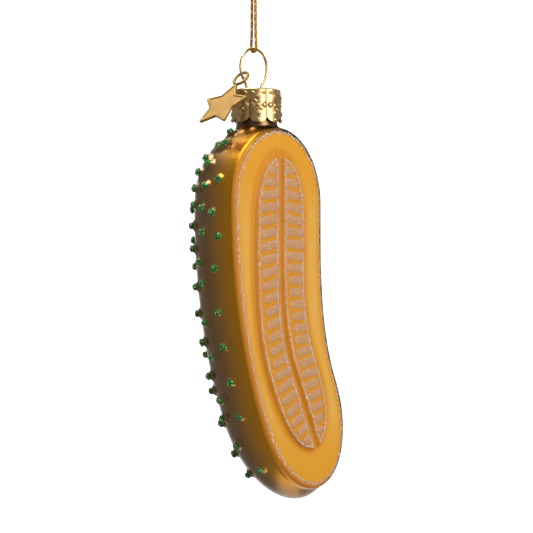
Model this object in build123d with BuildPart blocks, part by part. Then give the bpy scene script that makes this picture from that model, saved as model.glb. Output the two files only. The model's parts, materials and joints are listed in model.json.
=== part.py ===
from build123d import *
import os
from math import acos, asin, atan2, cos, degrees, hypot, pi, radians, sin, sqrt

# Blown-glass pickle ornament: a pickle cut lengthwise, hung by a cap, a wire ring and a doubled cord.
# Millimetres. The origin is the centre of the hanger ring, +Z is up and the cut face looks towards -Y.

# Hanger ring and its spring legs, bent from one wire
wire_diameter = 0.65
ring_radius = 4.55
ring_lift = 0.65
leg_hole_spacing = 3.9
leg_bend_radius = 1.1
leg_bow_radius = 4.0
leg_bow_drop = 6.6
leg_length = 13.0
leg_tip_inset = 0.9
leg_clearance = 0.15

# Cap: thin sheet, drawn into lobes that end in round scallops
cap_height = 8.1
cap_sheet = 0.3
cap_lobes = 8
cap_turn = 3.0
lobe_offset = 2.4
cap_clearance = 0.275
cap_flare = 0.3
scallop_height = 1.5
leg_hole_clearance = 0.25

# Neck of the glass, beside the ring's centre because the wire sits a little off the middle of the cap
neck_x = 1.0
neck_radius = 4.85
neck_wall = 0.8
neck_rim_gap = 0.1
neck_flare = 0.7
neck_below_cap = 0.9
neck_root = 4.0

# Cut face: the line of glitter round its rim is made of two half ellipses and two bent sides
neck_set_back = 0.45
top_half_width = 14.2
top_end_length = 17.0
top_end_x = 1.4
shoulder_rise = 0.4
bottom_half_width = 12.7
bottom_end_length = 20.3
bottom_end_x = 9.6
ends_apart = 48.6
bottom_lean = 24.0

# Glass behind the face
rim_margin = 1.5
rim_round = 1.0
body_depth = 20.6
widest_depth = 8.0
widest_growth = 0.6
half_way_growth_share = 0.87
top_growth = 0.3
bottom_growth = 3.2
glass_wall = 1.0
back_angles = (0, 18, 36, 54, 70, 84)

# Seed pods moulded on the face, and the seeds on them
pod_half_width = 8.0
pod_gap = 2.1
pod_top_length = 15.0
pod_top_inset = 6.1
pod_bottom_length = 21.0
pod_bottom_inset = 9.3
pod_top_slope = 0.3
pod_bottom_slope = 0.5
pod_raise = 0.5
seed_count = 23
seed_height = 2.0
seed_margin = 0.75
seed_tilt = 8.0
seed_raise = 0.25
seed_round = 0.6
seed_shortest = 1.5

# Warts on the rind and the glitter on their tips
wart_base_radius = 1.5
wart_tip_radius = 0.8
wart_height = 0.9
wart_sink = 0.45
bead_radius = 0.85
bead_sides = 6
bead_taper = 35
bead_height = 0.5
# Girth in degrees from the side beside the face, over the back: places down the rind, in hundredths of it
seen_warts = {
    -15: (14.5, 28),
    -9: (5.5, 22.5, 35.5, 45.5, 53.5, 61.5, 69.5, 84.5),
    1: (2.5, 6, 16),
    5: (10.5, 21.5, 27),
    10: (39, 56, 77.5),
    14: (9, 34, 48, 66),
    20: (12.5, 16.5, 20.5, 70.5),
    30: (25.5, 31, 40, 53, 61, 88),
    39: (46.5, 65, 73, 82),
    52: (21.5, 29, 35.5, 57),
}
back_girths = (66, 84, 102, 120, 138, 156, 174, 190)
back_pitch = 13.0
back_start = 11.0
back_end = 3.0
back_stagger = 6.5

# Lines of glitter laid on the face
glitter_width = 0.6
glitter_height = 0.3
glitter_clearance = 0.05

# Star charm: a cast plate with a raised rim and a cast loop, threaded on the hanger wire
star_radius = 7.1
star_inner_share = 0.54
star_plate = 0.5
star_rim_width = 0.5
star_rim_raise = 0.2
star_tip_round = 0.3
loop_radius = 1.95
loop_wire = 0.75
charm_gap = 0.36
charm_hang_angle = 218.0
loop_side_play = 0.85
loop_drop_play = 0.1

# Doubled cord through the ring, knotted above it
cord_diameter = 0.8
cord_clearance = 0.03
cord_top = 20.5
knot_bulge = 0.3
knot_height = 2.6
tail_length = 2.4
tail_radius = 0.4

os.makedirs("parts", exist_ok=True)

wire_radius = wire_diameter / 2
cap_top = -ring_radius - ring_lift
neck_axis = Axis((neck_x, 0, 0), (0, 0, 1))
neck_bore = neck_radius - neck_wall
neck_top = cap_top - cap_sheet - neck_rim_gap
neck_base = cap_top - cap_height - neck_below_cap
face_ahead = neck_radius + neck_flare + neck_set_back
top_reach = top_end_length + rim_margin + top_growth
bottom_reach = bottom_end_length + rim_margin + bottom_growth
top_centre = Vector(neck_x + top_end_x, neck_base + shoulder_rise - top_reach)
bottom_centre = Vector(neck_x + bottom_end_x, top_centre.Y - ends_apart)
lean_along = Vector(sin(radians(bottom_lean)), -cos(radians(bottom_lean)))
lean_across = Vector(cos(radians(bottom_lean)), sin(radians(bottom_lean)))
down = Vector(0, -1)
face_plane = Plane.XZ.offset(face_ahead)
face_sizes = (top_half_width, top_end_length, bottom_half_width, bottom_end_length)
growths = (widest_growth, top_growth, widest_growth, bottom_growth)
on_base = (Align.CENTER, Align.CENTER, Align.MIN)


def upright(flat):
    """A point or direction of the face, in the frame."""
    return Vector(flat.X, 0, flat.Y)


def grown(amount):
    """The face outline's four sizes, all larger by one amount."""
    return [size + amount for size in face_sizes]


def draw_outline(half_top, end_top, half_bottom, end_bottom, mode=Mode.ADD):
    """A closed face: two half-ellipse ends joined by the bent sides."""
    with BuildLine() as outline:
        top = EllipticalCenterArc(top_centre, half_top, end_top, start_angle=0, arc_size=180)
        bottom = EllipticalCenterArc(
            bottom_centre, half_bottom, end_bottom, start_angle=180, arc_size=180, rotation=bottom_lean
        )
        Spline(top @ 1, bottom @ 0, tangents=(down, lean_along))
        Spline(bottom @ 1, top @ 0, tangents=(-lean_along, -down))
    make_face(outline.edges(), mode=mode)


def rind_sections(inset):
    """Depth behind the face and outline sizes of each section, from the face to the back."""
    front = [size + rim_margin - inset for size in face_sizes]
    widest = [size + growth for size, growth in zip(front, growths)]
    yield inset, front
    half_way = [size + growth * half_way_growth_share for size, growth in zip(front, growths)]
    yield (inset + widest_depth) / 2, half_way
    for angle in back_angles:
        depth = widest_depth + (body_depth - inset - widest_depth) * sin(radians(angle))
        yield depth, [size * cos(radians(angle)) for size in widest]


def draw_pod(side, inset=0, mode=Mode.ADD):
    """One half of the lens of seeds, on the left (-1) or the right (1) of the middle gap."""
    gap = side * (pod_gap / 2 + inset)
    width = pod_half_width - pod_gap / 2 - 2 * inset
    top = Vector(top_centre.X + gap, top_centre.Y + top_end_length - pod_top_inset - pod_top_length)
    bottom = bottom_centre + lean_along * (bottom_end_length - pod_bottom_inset - pod_bottom_length)
    bottom = bottom + lean_across * gap
    with BuildLine() as outline:
        top_tip = top - down * (pod_top_length - inset)
        bottom_tip = bottom + lean_along * (pod_bottom_length - inset)
        top_side = top + Vector(side * width, 0)
        bottom_side = bottom + lean_across * (side * width)
        Spline(top_tip, top_side, tangents=(Vector(side, -pod_top_slope), down))
        Spline(top_side, bottom_side, tangents=(down, lean_along))
        bottom_turn = lean_across * -side + lean_along * pod_bottom_slope
        Spline(bottom_side, bottom_tip, tangents=(lean_along, bottom_turn))
        Spline(bottom_tip, bottom, top, top_tip, tangents=(-lean_along, -down))
    make_face(outline.edges(), mode=mode)


def pod_width(distance, pod_length):
    """Half width of the lens of seeds at a distance down from its top tip."""
    short = max(pod_top_length - distance, 0) / pod_top_length
    short += max(distance - pod_length + pod_bottom_length, 0) / pod_bottom_length
    return pod_half_width * sqrt(1 - short * short)


def seed_places(side):
    """Centre, length and turn of every seed in the row on one side of the middle gap."""
    top_run = top_end_length - pod_top_inset
    bottom_run = bottom_end_length - pod_bottom_inset
    pod_length = top_run + spine.length + bottom_run
    pitch = pod_length / (seed_count + 1)
    for step in range(seed_count):
        distance = pitch * (step + 1)
        bent = min(max((distance - top_run) / spine.length, 0), 1)
        past = min(distance - top_run, 0) + max(distance - top_run - spine.length, 0)
        along = Vector((spine % bent).X, (spine % bent).Z)
        across = Vector(-along.Y, along.X)
        middle = Vector((spine @ bent).X, (spine @ bent).Z) + along * past
        inner = pod_gap / 2 + seed_margin
        outer = pod_width(distance, pod_length) - seed_margin
        length = max(outer - inner, seed_shortest)
        turn = degrees(atan2(across.Y, across.X))
        yield middle + across * (side * (inner + length / 2)), length, turn - side * seed_tilt


def rind_place(girth, distance):
    """Plane on the rind, facing out, at a girth angle and a distance down from its top."""
    bent = min(max((distance - top_reach) / spine.length, 0), 1)
    middle = spine @ bent
    along = spine % bent
    across = Vector(along.Z * -1, 0, along.X)
    end_length = top_reach if distance < top_reach else bottom_reach
    past = min(distance - top_reach, 0) + max(distance - top_reach - spine.length, 0)
    share = past / end_length
    ring = sqrt(1 - share * share)
    half = top_half_width * (1 - bent) + bottom_half_width * bent + rim_margin + widest_growth
    depth = body_depth - widest_depth
    side = -cos(radians(girth))
    back = sin(radians(girth))
    centre = middle + along * past + Vector(0, widest_depth - face_ahead, 0)
    point = centre + across * (half * ring * side) + Vector(0, depth * ring * back, 0)
    normal = across * (ring * side / half) + Vector(0, ring * back / depth, 0) + along * (share / end_length)
    return Plane(origin=point, z_dir=normal)


with BuildLine():
    spine = Spline(upright(top_centre), upright(bottom_centre), tangents=(upright(down), upright(lean_along)))

rind_length = top_reach + spine.length + bottom_reach
wart_places = [
    rind_place(girth, rind_length * place / 100) for girth, row in seen_warts.items() for place in row
]
for column, girth in enumerate(back_girths):
    start = back_start + back_stagger * (column % 2)
    count = int((rind_length - back_end - start) / back_pitch) + 1
    wart_places += [rind_place(girth, start + back_pitch * step) for step in range(count)]

# Hollow inside the glass
with BuildPart() as cavity:
    for depth, sizes in rind_sections(glass_wall):
        with BuildSketch(Plane.XZ.offset(face_ahead - depth)):
            draw_outline(*sizes)
    loft()

# Glass body: rind, cut face, pods, seeds, warts and neck, blown in one piece
with BuildPart() as glass_body:
    for depth, sizes in rind_sections(0):
        with BuildSketch(Plane.XZ.offset(face_ahead - depth)):
            draw_outline(*sizes)
    loft()
    fillet(glass_body.faces().sort_by(Axis.Y)[0].edges(), rim_round)
    with BuildSketch(Plane.XZ):
        with BuildLine():
            flare_x = neck_x + neck_radius + neck_flare
            profile = Polyline(
                (neck_x + neck_radius, neck_base + neck_flare),
                (neck_x + neck_radius, neck_top),
                (neck_x, neck_top),
                (neck_x, neck_base - neck_root),
                (flare_x, neck_base - neck_root),
                (flare_x, neck_base),
            )
            RadiusArc(profile @ 1, profile @ 0, neck_flare)
        make_face()
    revolve(axis=neck_axis)
    with BuildSketch(face_plane):
        for side in (-1, 1):
            draw_pod(side)
    extrude(amount=pod_raise)
    for side in (-1, 1):
        with BuildSketch(face_plane.offset(pod_raise)):
            for centre, length, turn in seed_places(side):
                with Locations(Location((centre.X, centre.Y, 0), (0, 0, turn))):
                    RectangleRounded(length, seed_height, seed_round)
            draw_pod(side, glitter_width + glitter_clearance, Mode.INTERSECT)
    extrude(amount=seed_raise)
    with Locations(*[place.offset(-wart_sink) for place in wart_places]):
        Cone(wart_base_radius, wart_tip_radius, wart_height + wart_sink, align=on_base)
    add(cavity.part, mode=Mode.SUBTRACT)
    with BuildSketch(Plane.XY.offset(neck_top)):
        with Locations((neck_x, 0)):
            Circle(neck_bore)
    extrude(amount=neck_base - neck_root - neck_top, mode=Mode.SUBTRACT)
glass_body.part.label = "glass_body"
export_step(glass_body.part, "parts/glass_body.step")

# Glitter glued to the tip of each wart
with BuildPart() as wart_glitter:
    with BuildSketch(*[place.offset(wart_height) for place in wart_places]):
        RegularPolygon(bead_radius, bead_sides)
    extrude(amount=bead_height, taper=bead_taper)
wart_glitter.part.label = "wart_glitter"
export_step(wart_glitter.part, "parts/wart_glitter.step")

# Line of glitter round the rim of the face
with BuildPart() as rim_glitter_line:
    with BuildSketch(face_plane):
        draw_outline(*grown(glitter_width / 2))
        draw_outline(*grown(-glitter_width / 2), mode=Mode.SUBTRACT)
    extrude(amount=glitter_height)
rim_glitter_line.part.label = "rim_glitter_line"
export_step(rim_glitter_line.part, "parts/rim_glitter_line.step")

# Lines of glitter round the two pods
with BuildPart() as pod_glitter_lines:
    with BuildSketch(face_plane.offset(pod_raise)):
        for side in (-1, 1):
            draw_pod(side)
            draw_pod(side, glitter_width, Mode.SUBTRACT)
    extrude(amount=glitter_height)
pod_glitter_lines.part.label = "pod_glitter_lines"
export_step(pod_glitter_lines.part, "parts/pod_glitter_lines.step")

# Cap: lobed sheet with a flat top, two holes for the wire and scalloped ends
lobe_turn = 360 / cap_lobes
crease_across = lobe_offset * sin(radians(lobe_turn / 2))
crease_out = neck_radius + cap_clearance - lobe_offset * cos(radians(lobe_turn / 2))
lobe_radius = cap_sheet + hypot(crease_out, crease_across)
cap_radius = lobe_offset + lobe_radius
panel_half = (cap_radius + cap_flare) * sin(radians(lobe_turn / 2))


def draw_lobes(grow):
    """Lobed outline of the cap, larger by one amount."""
    with PolarLocations(lobe_offset, cap_lobes, start_angle=cap_turn):
        Circle(lobe_radius + grow)


def cap_level(drop):
    """Level plane on the neck's axis, at a drop below the cap's top."""
    return Plane((neck_x, 0, cap_top - drop))


def scallop_plane(step):
    """Plane that faces out through one crease, at the height of the scallops' tips."""
    angle = radians(cap_turn + lobe_turn * (step + 0.5))
    out = Vector(cos(angle), sin(angle), 0)
    return Plane(origin=(neck_x, 0, cap_top - cap_height), x_dir=(-sin(angle), cos(angle), 0), z_dir=out)


with BuildPart() as cap:
    for drop, grow in ((0, 0), (cap_height, cap_flare)):
        with BuildSketch(cap_level(drop)):
            draw_lobes(grow)
    loft(ruled=True)
    for drop, grow in ((cap_sheet, -cap_sheet), (cap_height, cap_flare - cap_sheet)):
        with BuildSketch(cap_level(drop)):
            draw_lobes(grow)
    loft(ruled=True, mode=Mode.SUBTRACT)
    fillet(cap.edges().group_by(Axis.Z)[-1], cap_sheet / 2)
    with BuildSketch(*[scallop_plane(step) for step in range(cap_lobes)]):
        with BuildLine():
            left = EllipticalCenterArc(
                (panel_half, scallop_height), panel_half, scallop_height, start_angle=180, arc_size=90
            )
            right = EllipticalCenterArc(
                (-panel_half, scallop_height), panel_half, scallop_height, start_angle=0, arc_size=-90
            )
            Polyline(left @ 1, (panel_half, -scallop_height), (-panel_half, -scallop_height), right @ 1)
        make_face()
    extrude(amount=2 * cap_radius, mode=Mode.SUBTRACT)
    with BuildSketch(Plane.XY.offset(cap_top)):
        with Locations((-leg_hole_spacing / 2, 0), (leg_hole_spacing / 2, 0)):
            Circle(wire_radius + leg_hole_clearance)
    extrude(amount=-2 * cap_sheet, mode=Mode.SUBTRACT)
cap.part.label = "cap"
export_step(cap.part, "parts/cap.step")

# Hanger wire: the ring, and two legs that spring against the inside of the neck
hole_drop = cap_sheet / 2 - cap_top
hole_reach = hypot(leg_hole_spacing / 2, hole_drop)
tangent_angle = degrees(acos(ring_radius / hole_reach) - atan2(hole_drop, leg_hole_spacing / 2))
leg_reach = neck_bore - wire_radius - leg_clearance
bow_z = -hole_drop - leg_bow_drop
tip_z = -hole_drop - leg_length
with BuildPart() as hanger_wire:
    with BuildLine(Plane.XZ) as wire_path:
        ring = CenterArc((0, 0), ring_radius, tangent_angle, 180 - 2 * tangent_angle)
        for end, side in ((ring @ 0, 1), (ring @ 1, -1)):
            FilletPolyline(
                (end.X, end.Z),
                (side * leg_hole_spacing / 2, -hole_drop),
                (neck_x + side * leg_reach, bow_z),
                (neck_x + side * (leg_reach - leg_tip_inset), tip_z),
                radius=(leg_bend_radius, leg_bow_radius),
            )
    wire = wire_path.wires()[0]
    with BuildSketch(Plane(origin=wire @ 0, z_dir=wire % 0)):
        Circle(wire_radius)
    sweep(path=wire)
hanger_wire.part.label = "hanger_wire"
export_step(hanger_wire.part, "parts/hanger_wire.step")

# Star charm with its loop round the hanger wire, leaning on the cap's top edge
hang_angle = radians(charm_hang_angle)
hang_point = Vector(ring_radius * cos(hang_angle), 0, ring_radius * sin(hang_angle))
to_hang_point = hang_point - Vector(neck_x - cap_radius, 0, cap_top)
charm_lean = degrees(atan2(to_hang_point.Z, to_hang_point.X))
charm_lean -= degrees(asin((loop_wire / 2 + charm_gap) / to_hang_point.length))
charm_up = Vector(cos(radians(charm_lean)), 0, sin(radians(charm_lean)))
charm_out = Vector(-sin(radians(charm_lean)), 0, cos(radians(charm_lean)))
loop_centre = hang_point + Vector(0, loop_side_play, 0) + charm_up * loop_drop_play
star_centre = loop_centre - charm_up * (star_radius + loop_radius)
star_plane = Plane(origin=star_centre, x_dir=(0, -1, 0), z_dir=charm_out)


def star_points():
    """Corners of the star, tips and notches in turn, starting at the arm that carries the loop."""
    for step in range(10):
        angle = radians(90 + 36 * step)
        reach = star_radius if step % 2 == 0 else star_radius * star_inner_share
        yield reach * cos(angle), reach * sin(angle)


with BuildPart() as star_charm:
    with BuildSketch(star_plane.offset(-star_plate / 2)) as star_sketch:
        Polygon(*star_points(), align=None)
        fillet(star_sketch.vertices(), star_tip_round)
    extrude(amount=star_plate)
    with BuildSketch(star_plane.offset(star_plate / 2)) as rim_sketch:
        Polygon(*star_points(), align=None)
        fillet(rim_sketch.vertices(), star_tip_round)
        offset(amount=-star_rim_width, kind=Kind.INTERSECTION, mode=Mode.SUBTRACT)
    extrude(amount=star_rim_raise)
    with Locations(Plane(origin=loop_centre, x_dir=(0, -1, 0), z_dir=charm_out)):
        Torus(loop_radius, loop_wire / 2)
star_charm.part.label = "star_charm"
export_step(star_charm.part, "parts/star_charm.step")

# Doubled cord: down one side of the ring's wire, under it and up the other side
bight_radius = wire_radius + cord_clearance + cord_diameter / 2
with BuildPart() as hang_cord:
    with BuildLine(Plane.YZ) as cord_path:
        Line((-bight_radius, cord_top), (-bight_radius, ring_radius))
        CenterArc((0, ring_radius), bight_radius, 180, 180)
        Line((bight_radius, ring_radius), (bight_radius, cord_top))
    cord_wire = cord_path.wires()[0]
    with BuildSketch(Plane(origin=cord_wire @ 0, z_dir=cord_wire % 0)):
        Circle(cord_diameter / 2)
    sweep(path=cord_wire)
hang_cord.part.label = "hang_cord"
export_step(hang_cord.part, "parts/hang_cord.step")
cord_section = pi * (cord_diameter / 2) ** 2
print("cord length", cord_wire.length, "bend radius", bight_radius)
print("cord volume", hang_cord.part.volume, "section by length", cord_section * cord_wire.length)

# Knot that joins the two strands, with its two tails
with BuildPart() as cord_knot:
    with BuildSketch(Plane.XZ):
        with BuildLine():
            bulge = ThreePointArc(
                (bight_radius + cord_diameter / 2, cord_top),
                (bight_radius + cord_diameter / 2 + knot_bulge, cord_top + knot_height / 2),
                (bight_radius, cord_top + knot_height),
            )
            Polyline(bulge @ 1, (0, cord_top + knot_height), (0, cord_top), bulge @ 0)
        make_face()
    revolve(axis=Axis.Z)
    with BuildSketch(Plane.XY.offset(cord_top + knot_height)):
        with Locations((0, -tail_radius - cord_clearance), (0, tail_radius + cord_clearance)):
            Circle(tail_radius)
    extrude(amount=tail_length)
cord_knot.part.label = "cord_knot"
export_step(cord_knot.part, "parts/cord_knot.step")
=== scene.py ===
import json
import math

import bmesh
import bpy
import numpy as np
from mathutils import Matrix, Vector


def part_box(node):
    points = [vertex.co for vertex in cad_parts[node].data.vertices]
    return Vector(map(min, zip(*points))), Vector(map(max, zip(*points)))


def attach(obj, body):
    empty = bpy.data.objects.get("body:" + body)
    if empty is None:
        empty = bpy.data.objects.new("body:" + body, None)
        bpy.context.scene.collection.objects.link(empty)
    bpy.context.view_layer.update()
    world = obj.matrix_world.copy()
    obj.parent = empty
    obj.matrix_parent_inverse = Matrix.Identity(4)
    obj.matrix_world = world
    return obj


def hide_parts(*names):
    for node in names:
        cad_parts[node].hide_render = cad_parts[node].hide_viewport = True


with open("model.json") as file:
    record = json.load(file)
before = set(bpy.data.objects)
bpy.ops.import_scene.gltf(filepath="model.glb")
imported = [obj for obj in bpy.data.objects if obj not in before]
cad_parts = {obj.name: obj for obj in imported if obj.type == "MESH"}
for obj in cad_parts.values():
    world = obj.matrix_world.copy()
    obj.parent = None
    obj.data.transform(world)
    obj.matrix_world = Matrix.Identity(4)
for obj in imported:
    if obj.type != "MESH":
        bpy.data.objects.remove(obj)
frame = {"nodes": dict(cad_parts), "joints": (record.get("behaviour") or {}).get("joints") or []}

bl_info = {
    "name": "Pickle ornament",
    "version": (1, 0, 0),
    "blender": (4, 5, 0),
    "location": "View3D > Sidebar > Ornament",
    "description": "Dresses the packed ornament with lacquered glass, glitter, gold metal and a twisted cord",
    "category": "Object",
}

MM = 0.001
QUARTER = math.pi / 2
# points nearer than a seam are one, no divisor is smaller than tiny, and far out marks what no shape reaches
SEAM = 0.002 * MM
TINY = 1e-12
FAR_OUT = -1.0
# left and right, or front and back
SIDES = (-1, 1)
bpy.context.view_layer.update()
PALE_TINTS = ("#F6EFE8", "#E9D3C8", "#FFFFFF", "#E6DDD6", "#F1E3B0", "#F4D9D2", "#D6E6CE", "#FBF7F0")
GREEN_TINTS = ("#4DA64A", "#35893C", "#8EDB86", "#2A6B30", "#62BA5C", "#1E5226", "#B4EBA6", "#45993F")


def linear(hex_code):
    """An sRGB hex value as linear red, green, blue and a full alpha."""
    parts = [int(hex_code[place:place + 2], 16) / 255 for place in (1, 3, 5)]
    return [part / 12.92 if part <= 0.04045 else ((part + 0.055) / 1.055) ** 2.4 for part in parts] + [1.0]


def size(label, description, millimetres):
    """A length that a user may change, given in millimetres."""
    return bpy.props.FloatProperty(
        name=label, description=description, default=millimetres * MM, unit="LENGTH", precision=6
    )


def portion(label, description, share):
    """A share of a whole that a user may change."""
    return bpy.props.FloatProperty(
        name=label, description=description, default=share, subtype="FACTOR", min=0, max=1
    )


def count(label, description, whole):
    """A whole number that a user may change."""
    return bpy.props.IntProperty(name=label, description=description, default=whole, min=1)


def turn(label, description, degrees):
    """An angle that a user may change, given in degrees."""
    return bpy.props.FloatProperty(
        name=label, description=description, default=math.radians(degrees), subtype="ANGLE"
    )


def colour(label, description, hex_code):
    """A colour that a user may change, given as an sRGB hex value."""
    return bpy.props.FloatVectorProperty(
        name=label, description=description, default=linear(hex_code), size=4, subtype="COLOR", min=0, max=1
    )


class GlassSizes(bpy.types.PropertyGroup):
    """Sizes of the blown glass, its cut face and its seed pods"""

    neck_x: size("Neck offset", "How far the neck stands beside the hanging point", 1.0)
    neck_radius: size("Neck radius", "Outside radius of the glass neck", 4.85)
    neck_wall: size("Neck wall", "Thickness of the neck", 0.8)
    neck_flare: size("Neck flare", "Radius of the flare where the neck meets the shoulder", 0.3)
    neck_base: size("Neck base", "Height of the neck's lower end", -14.2)
    face_ahead: size("Face ahead", "How far the cut face stands before the neck's axis", 6.0)
    face_crown: size("Face crown", "How far the face swells inside the rim line", 0.3)
    top_x: size("Top end offset", "Centre of the face's upper end, right of the hanging point", 2.4)
    top_z: size("Top end height", "Centre of the face's upper end, above the hanging point", -32.6)
    top_half: size("Top half width", "Half width of the glitter line at the face's upper end", 14.2)
    top_end: size("Top end length", "Length of the glitter line's upper end", 17.0)
    bottom_x: size("Bottom end offset", "Centre of the face's lower end, right of the hanging point", 10.6)
    bottom_z: size("Bottom end height", "Centre of the face's lower end, above the hanging point", -81.2)
    bottom_half: size("Bottom half width", "Half width of the glitter line at the face's lower end", 12.7)
    bottom_end: size("Bottom end length", "Length of the glitter line's lower end", 20.3)
    bottom_lean: turn("Bottom lean", "How far the lower end leans out of the upright", 24.0)
    rim_margin: size("Rim margin", "From the glitter line out to the edge of the glass", 1.5)
    rim_round: size("Rim round", "Radius of the edge between the face and the rind", 1.0)
    rim_roll: size("Rim roll", "How deep the rounded edge runs behind the face", 1.8)
    body_depth: size("Depth", "Depth of the glass behind the face", 20.6)
    widest_depth: size("Widest depth", "Depth at which the rind is widest", 8.0)
    widest_growth: size("Widest growth", "How much wider the rind gets on each side", 0.6)
    top_growth: size("Top growth", "How much higher the rind gets at the top", 0.3)
    bottom_growth: size("Bottom growth", "How much lower the rind gets at the bottom", 3.2)
    wart_radius: size("Wart radius", "Radius of a wart's soft foot", 1.7)
    pod_half: size("Pod half width", "Half width of the two pods together", 8.0)
    pod_gap: size("Pod gap", "Gap between the two pods", 2.1)
    pod_top: size("Pod top length", "Length of the pods' upper taper", 15.0)
    pod_top_inset: size("Pod top inset", "From the glitter line's top to the pods' top", 6.1)
    pod_bottom: size("Pod bottom length", "Length of the pods' lower taper", 21.0)
    pod_bottom_inset: size("Pod bottom inset", "From the pods' bottom to the glitter line's bottom", 9.3)
    pod_raise: size("Pod height", "How far the pods stand out of the face", 0.5)
    pod_slope: size("Pod slope", "Width of the pods' sloping edge", 0.7)
    seed_count: count("Seeds", "Seeds in each pod", 23)
    seed_height: size("Seed height", "Height of a seed", 2.2)
    seed_margin: size("Seed margin", "From a seed's end to the pod's edge", 0.5)
    seed_round: size("Seed round", "Radius of a seed's corners", 0.85)
    seed_tilt: turn("Seed tilt", "Tilt of the seeds towards the middle gap", 8.0)
    seed_raise: size("Seed relief", "How far the seeds stand out of the pods", 0.25)
    rib_width: size("Rib width", "Width of the rib between two seeds", 0.45)
    rib_raise: size("Rib relief", "How far the ribs stand out of the pods", 0.16)


class GlitterSizes(bpy.types.PropertyGroup):
    """Sizes of the glued glitter"""

    line_width: size("Line width", "Width of a line of glitter", 0.75)
    flake: size("Flake", "Size of a pale flake", 0.24)
    flakes_per_mm: bpy.props.FloatProperty(
        name="Flakes per mm", description="Pale flakes on each millimetre of a line", default=18.0, min=0.1
    )
    dab_radius: size("Dab radius", "Radius of the glitter on a wart", 0.85)
    dab_height: size("Dab height", "Height of the glitter on a wart", 0.6)
    grain: size("Grain", "Size of a green grain", 0.36)
    grains: count("Grains", "Green grains on each wart", 60)
    bead_share: portion("Glue bead share", "Size of the glue bead as a share of the whole dab", 0.88)


class MetalSizes(bpy.types.PropertyGroup):
    """Sizes of the cap, the hanger wire, the star charm and the cord"""

    cap_top: size("Cap top", "Height of the cap's top", -5.2)
    cap_height: size("Cap height", "Height of the cap", 8.1)
    cap_sheet: size("Cap sheet", "Thickness of the cap's sheet", 0.3)
    cap_lobes: count("Cap lobes", "Lobes round the cap", 8)
    cap_turn: turn("Cap turn", "Turn of the first lobe from the right", 3.0)
    cap_edge: size("Cap edge", "Radius of the edge round the cap's top", 0.35)
    lobe_offset: size("Lobe offset", "From the cap's axis to a lobe's centre", 2.4)
    lobe_radius: size("Lobe radius", "Radius of a lobe", 3.35)
    cap_flare: size("Cap flare", "How much wider the cap is at its lower edge", 0.3)
    scallop: size("Scallop", "Height of the notches between the scallops", 1.5)
    stamp_raise: size("Stamp relief", "How far the stamped diamonds and dots stand out", 0.24)
    wire: size("Wire", "Diameter of the hanger wire", 0.65)
    ring_radius: size("Ring radius", "Radius of the ring at the middle of its wire", 4.55)
    hole_spacing: size("Hole spacing", "Between the two holes in the cap's top", 3.9)
    hole_play: size("Hole play", "Gap between the wire and the edge of its hole", 0.25)
    leg_reach: size("Leg reach", "From the neck's axis to the bow of a spring leg", 3.575)
    leg_bow: size("Leg bow", "From the cap's top down to the bow of a leg", 6.6)
    leg_length: size("Leg length", "From the cap's top down to a leg's tip", 13.0)
    leg_inset: size("Leg inset", "How far a leg's tip turns in again", 0.9)
    star_radius: size("Star radius", "From the star's centre to its tips", 7.1)
    star_inner: portion("Star notch share", "Radius of the star's notches as a share of its tips", 0.54)
    tip_blunt: size("Tip blunting", "How much of each sharp tip is rounded away", 0.3)
    star_plate: size("Star plate", "Thickness of the star", 0.5)
    star_rim: size("Star rim", "Width of the star's raised rim", 0.5)
    star_raise: size("Star rim height", "How far the star's rim stands out of its field", 0.2)
    star_edge: size("Star edge", "Radius of the star's edges", 0.1)
    loop_radius: size("Loop radius", "Radius of the star's loop at the middle of its wire", 1.95)
    loop_wire: size("Loop wire", "Thickness of the star's loop", 0.75)
    loop_side: size("Loop play", "How far the loop lies to the back of the hinge point", 0.85)
    loop_shift: size("Loop shift", "From the hinge point to the loop's centre, away from the star", 0.1)
    charm_lean: turn("Charm lean", "Angle of the star's long axis above the level", 48.05)
    cord: size("Cord", "Diameter of the cord", 0.8)
    cord_top: size("Cord top", "Height of the knot's lower end", 20.5)
    bight: size("Bight", "Radius of the cord's bend under the ring", 0.755)
    cord_gap: size("Cord gap", "Between the middles of the two strands over the ring", 1.15)
    twist: size("Twist", "Length of one full turn of the cord's braided yarns", 4.2)
    knot_height: size("Knot height", "Height of the knot", 2.6)
    tail: size("Tail", "Length of the two tails over the knot", 2.4)


class Finishes(bpy.types.PropertyGroup):
    """Colours of the ornament"""

    flesh: colour("Flesh", "Matte lacquer on the cut face", "#E6A028")
    # Deep flesh is the pods' own deeper tone, and painted shade round the pods (partly an airbrushed tone),
    # along the inside of the rim and in the grooves round the seeds
    flesh_deep: colour("Deep flesh", "Airbrushed shade round the pods and along the rim", "#C97A10")
    # Pale flesh is painted sheen: a lighter flesh where the light glances off the gently domed margins
    flesh_pale: colour("Pale flesh", "Thinner lacquer along the middle of the margins", "#E8B356")
    seed: colour("Seed", "Brushed paint on the seeds", "#C5936A")
    seed_streak: colour("Seed streak", "Lighter streaks that the brush left on the seeds", "#D9AE84")
    rind: colour("Rind", "Metallic lacquer on the sides and back", "#93744F")
    # Rind shade is painted shade: a darker rind on the far side, the neck and the lower end, where less light
    # reaches
    rind_shade: colour("Rind shade", "Darker lacquer on the side turned from the light", "#584530")
    # Rind gold is partly a more golden lacquer and partly painted sheen, for the light that the rind catches
    # beside the rim
    rind_gold: colour("Rind gold", "Thinner, more golden lacquer beside the rim", "#D99424")
    gold: colour("Gold", "Bright gold of the cap and wire", "#D6B27A")
    charm_gold: colour("Charm gold", "Satin gold of the star", "#B08C52")
    thread: colour("Thread", "Metallic foil of the cord's yarns", "#E3A42A")
    # Core thread is partly the real core and partly painted shade in the yarns' valleys and where they pass
    # under
    thread_core: colour("Core thread", "Core thread between the turns of foil", "#3E2408")


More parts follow.
